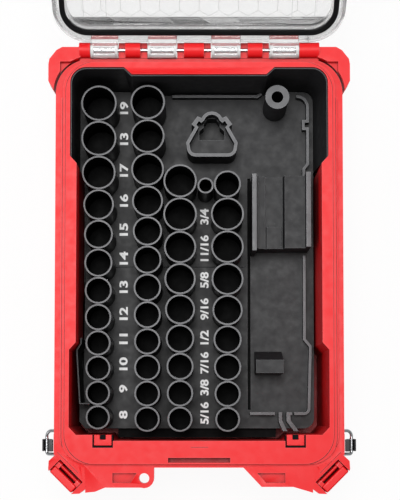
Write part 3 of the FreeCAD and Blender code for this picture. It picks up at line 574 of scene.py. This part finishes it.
# Honeycomb: fine stiffening ribs under the lid's panel, moulded with it in the
# same clear polycarbonate. One cell is repeated in two staggered sets.
HINGE = Vector((0, 178 * MM, 98 * MM))
LID_OPEN = math.radians(-138)
PANEL_UNDERSIDE = 114.5


def open_with_lid(piece):
    """Turn a piece that is modelled on the closed lid to the lid's open stop."""
    piece.data.transform(Matrix.Translation(-HINGE))
    piece.data.transform(Matrix.Rotation(LID_OPEN, 4, "X"))
    piece.data.transform(Matrix.Translation(HINGE))
    return piece


CELL = 16.0
ROW_STEP = CELL * math.sqrt(3) / 2
RIB_WIDTH = 0.6
RIB_DEPTH = 0.4
FIRST_CELL = (-96, -117, PANEL_UNDERSIDE)
bpy.ops.object.select_all(action="DESELECT")
bpy.ops.mesh.primitive_circle_add(vertices=6, radius=CELL / math.sqrt(3) * MM, fill_type="NGON")
cell = bpy.context.object
bpy.ops.object.mode_set(mode="EDIT")
bpy.ops.mesh.inset(thickness=RIB_WIDTH / 2 * MM)
bpy.ops.mesh.delete(type="FACE")
bpy.ops.mesh.select_all(action="SELECT")
bpy.ops.mesh.extrude_region_move(TRANSFORM_OT_translate={"value": (0, 0, -RIB_DEPTH * MM)})
bpy.ops.mesh.select_all(action="SELECT")
bpy.ops.mesh.normals_make_consistent(inside=False)
bpy.ops.object.mode_set(mode="OBJECT")
honeycomb = join([cell, moved_copy(cell, (CELL / 2, ROW_STEP, 0))], "lid_honeycomb_ribs")
honeycomb.data.transform(Matrix.Translation([c * MM for c in FIRST_CELL]))
for count, step in ((12, (CELL * MM, 0, 0)), (10, (0, 2 * ROW_STEP * MM, 0))):
    finish_modifier(
        honeycomb, "ARRAY", count=count, use_relative_offset=False, use_constant_offset=True,
        constant_offset_displace=step,
    )
wear(open_with_lid(honeycomb), clear)
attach(honeycomb, "lid")

# Panel ribs: the raised outlines of the four stacking feet, and two stops along
# each end of the lid, moulded with it in the same clear polycarbonate.
PANEL_MIDDLE_Y = 5.7
FOOT_X, FOOT_Y = 85.2, 124.9
STOP_X, STOP_Y = 50.2, 156.4
foot_place = (-FOOT_X, PANEL_MIDDLE_Y - FOOT_Y)
foot = block((19.3, 56, 0.7), (*foot_place, PANEL_UNDERSIDE - 0.35))
cut(foot, block((18.1, 54.8, 2), (*foot_place, PANEL_UNDERSIDE)))
stop = block((41, 0.9, 1.4), (-STOP_X, PANEL_MIDDLE_Y - STOP_Y, PANEL_UNDERSIDE - 0.7))
ribs = [foot, stop]
for rib, x, y in ((foot, FOOT_X, FOOT_Y), (stop, STOP_X, STOP_Y)):
    for shift in ((2 * x, 0, 0), (0, 2 * y, 0), (2 * x, 2 * y, 0)):
        ribs.append(moved_copy(rib, shift))
panel_ribs = join(ribs, "lid_panel_ribs")
wear(open_with_lid(panel_ribs), clear)
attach(panel_ribs, "lid")

# Knuckle highlights: a white strip along the front of each lid knuckle and a white ring at each
# of its ends, painted highlights for the light that the clear knuckles catch. They ride on the
# lid.

# Painted highlight: a soft, milky white with mottled patches, drawn where the clear knuckles
# catch the light.
knuckle_glint, tree = new_material("clear_knuckle_painted_highlight")
place = add(tree, "ShaderNodeTexCoord").outputs["Object"]
highlight_mottle = add(tree, "ShaderNodeTexNoise", {"Vector": place, "Scale": 1 / (2 * MM), "Detail": 3.0})
highlight_tone = add(
    tree, "ShaderNodeMix",
    {"Factor": highlight_mottle.outputs["Fac"], TONE_A: linear("#E4E4E4"), TONE_B: linear("#F6F6F6")},
    data_type="RGBA",
)
highlight_shader = add(
    tree, "ShaderNodeBsdfPrincipled",
    {
        "Base Color": highlight_tone.outputs[TONE_OUT], "Roughness": 0.45, "IOR": 1.586,
        "Transmission Weight": 0.25,
    },
)
add(tree, "ShaderNodeOutputMaterial", {"Surface": highlight_shader.outputs[0]})
HIGHLIGHT_RADIUS, KNUCKLE_RADIUS = 6.55, 6.22
HIGHLIGHT_FRONT, HIGHLIGHT_FOOT = 171, 98.6
RING_WIDTH = 2.4


def pin_cylinder(radius, left, right):
    """A cylinder about the hinge pin, in millimetres."""
    bpy.ops.object.select_all(action="DESELECT")
    bpy.ops.mesh.primitive_cylinder_add(
        vertices=64, radius=radius * MM, depth=(right - left) * MM,
        location=((left + right) / 2 * MM, HINGE.y, HINGE.z), rotation=(0, math.pi / 2, 0),
    )
    bpy.ops.object.transform_apply(location=True, rotation=True, scale=True)
    return bpy.context.object


highlight_bands = []
for left, right in LID_KNUCKLES:
    for start, end, deep, high in (
        (left + 1, right - 1, 2.2, 4), (left, left + RING_WIDTH, 9, 8),
        (right - RING_WIDTH, right, 9, 8),
    ):
        highlight_band = pin_cylinder(HIGHLIGHT_RADIUS, start, end)
        cut(highlight_band, pin_cylinder(KNUCKLE_RADIUS, start - 1, end + 1))
        centre = ((start + end) / 2, HIGHLIGHT_FRONT + deep / 2, HIGHLIGHT_FOOT + high / 2)
        highlight_bands.append(cut(highlight_band, block((end - start + 2, deep, high), centre), "INTERSECT"))
knuckle_highlights = join(highlight_bands, "lid_knuckle_highlights")
wear(knuckle_highlights, knuckle_glint)
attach(knuckle_highlights, "lid")

# Gasket: a closed ring of black rubber, moulded in one piece and pressed into
# the channel round the lid's underside. It seals on the box's land.

# The rubber is a dull, even black that takes up light. Its edges are hardly paler.
RUBBER = moulded_plastic(
    "black_epdm_rubber", colour="#0B0B0C", deep="#080809", edge_wear_and_highlight="#222224", painted_gap_shade="#020202",
    roughness=0.62, grain_mm=0.5, grain_height_mm=0.01, gloss=0.15,
)
gasket = cleaned_copy("lid_gasket", "lid_gasket_black")
wear(soften(gasket, 0.9, 3), RUBBER)
stand_for(gasket, "lid", "lid_gasket")

# Setting: a wide pale floor and a white surround, two soft lamps, and a camera
# that looks almost straight down from above the front lip.
bpy.ops.object.select_all(action="DESELECT")
bpy.ops.mesh.primitive_plane_add(size=8, location=(0, 0, -0.2 * MM))
floor = bpy.context.object
floor.name = "floor"

# The floor is seen as near white, and still takes the box's soft shadow.
FLOOR_WHITE = 0.93
pale, tree = new_material("pale_floor")
lit = add(tree, "ShaderNodeBsdfDiffuse", {"Color": linear("#F2F2F2")})
shine = add(tree, "ShaderNodeEmission", {"Color": (1, 1, 1, 1), "Strength": 1.0})
path = add(tree, "ShaderNodeLightPath")
seen = add(
    tree, "ShaderNodeMath", {0: path.outputs["Is Camera Ray"], 1: path.outputs["Is Glossy Ray"]},
    operation="MAXIMUM",
)
seen_all = add(
    tree, "ShaderNodeMath", {0: seen.outputs[0], 1: path.outputs["Is Transmission Ray"]},
    operation="MAXIMUM",
)
part_white = add(
    tree, "ShaderNodeMath", {0: seen_all.outputs[0], 1: FLOOR_WHITE}, operation="MULTIPLY"
)
floor_mix = add(
    tree, "ShaderNodeMixShader", {0: part_white.outputs[0], 1: lit.outputs[0], 2: shine.outputs[0]}
)
add(tree, "ShaderNodeOutputMaterial", {"Surface": floor_mix.outputs[0]})
floor.data.materials.append(pale)

# The surround lights the box softly, and is white where it is seen or seen through.
LIGHT_STRENGTH, SEEN_STRENGTH = 0.33, 1.0
world = bpy.data.worlds.new("studio")
bpy.context.scene.world = world
world.use_nodes = True
sky = world.node_tree.nodes["Background"]
sky.inputs["Color"].default_value = (1, 1, 1, 1)
path = add(world.node_tree, "ShaderNodeLightPath")
through = add(
    world.node_tree, "ShaderNodeMath",
    {0: path.outputs["Is Camera Ray"], 1: path.outputs["Is Transmission Ray"]},
    operation="MAXIMUM",
)
brightness = add(
    world.node_tree, "ShaderNodeMapRange",
    {"Value": through.outputs[0], "To Min": LIGHT_STRENGTH, "To Max": SEEN_STRENGTH},
)
world.node_tree.links.new(brightness.outputs[0], sky.inputs["Strength"])


def soft_lamp(name, place, target, size, power):
    """A square softbox aimed at a point. Sizes are in metres, power in watts."""
    light = bpy.data.lights.new(name, "AREA")
    light.shape = "RECTANGLE"
    light.size = light.size_y = size
    light.energy = power
    lamp = bpy.data.objects.new(name, light)
    bpy.context.scene.collection.objects.link(lamp)
    lamp.location = place
    lamp.rotation_euler = (Vector(target) - Vector(place)).to_track_quat("-Z", "Y").to_euler()


soft_lamp("overhead", (-0.1, 0.3, 1.9), (0, 0.05, 0.05), 0.9, 25.5)
soft_lamp("side_fill", (-1.3, -0.9, 1.2), (0, 0, 0.05), 0.9, 4)

# The lens and its shift are given in pixels of a frame that is 500 high.
FOCAL_PIXELS = 1109.8
SHIFT_PIXELS = 115
FRAME_PIXELS = 500
camera_data = bpy.data.cameras.new("camera")
camera = bpy.data.objects.new("camera", camera_data)
bpy.context.scene.collection.objects.link(camera)
camera_data.sensor_width = 36
camera_data.lens = FOCAL_PIXELS / FRAME_PIXELS * camera_data.sensor_width
camera_data.shift_y = SHIFT_PIXELS / FRAME_PIXELS
camera.location = (0.0007, -0.1194, 0.9961)
camera.rotation_euler = (math.radians(2.498), 0, 0)
bpy.context.scene.camera = camera
bpy.context.scene.view_settings.view_transform = "Standard"
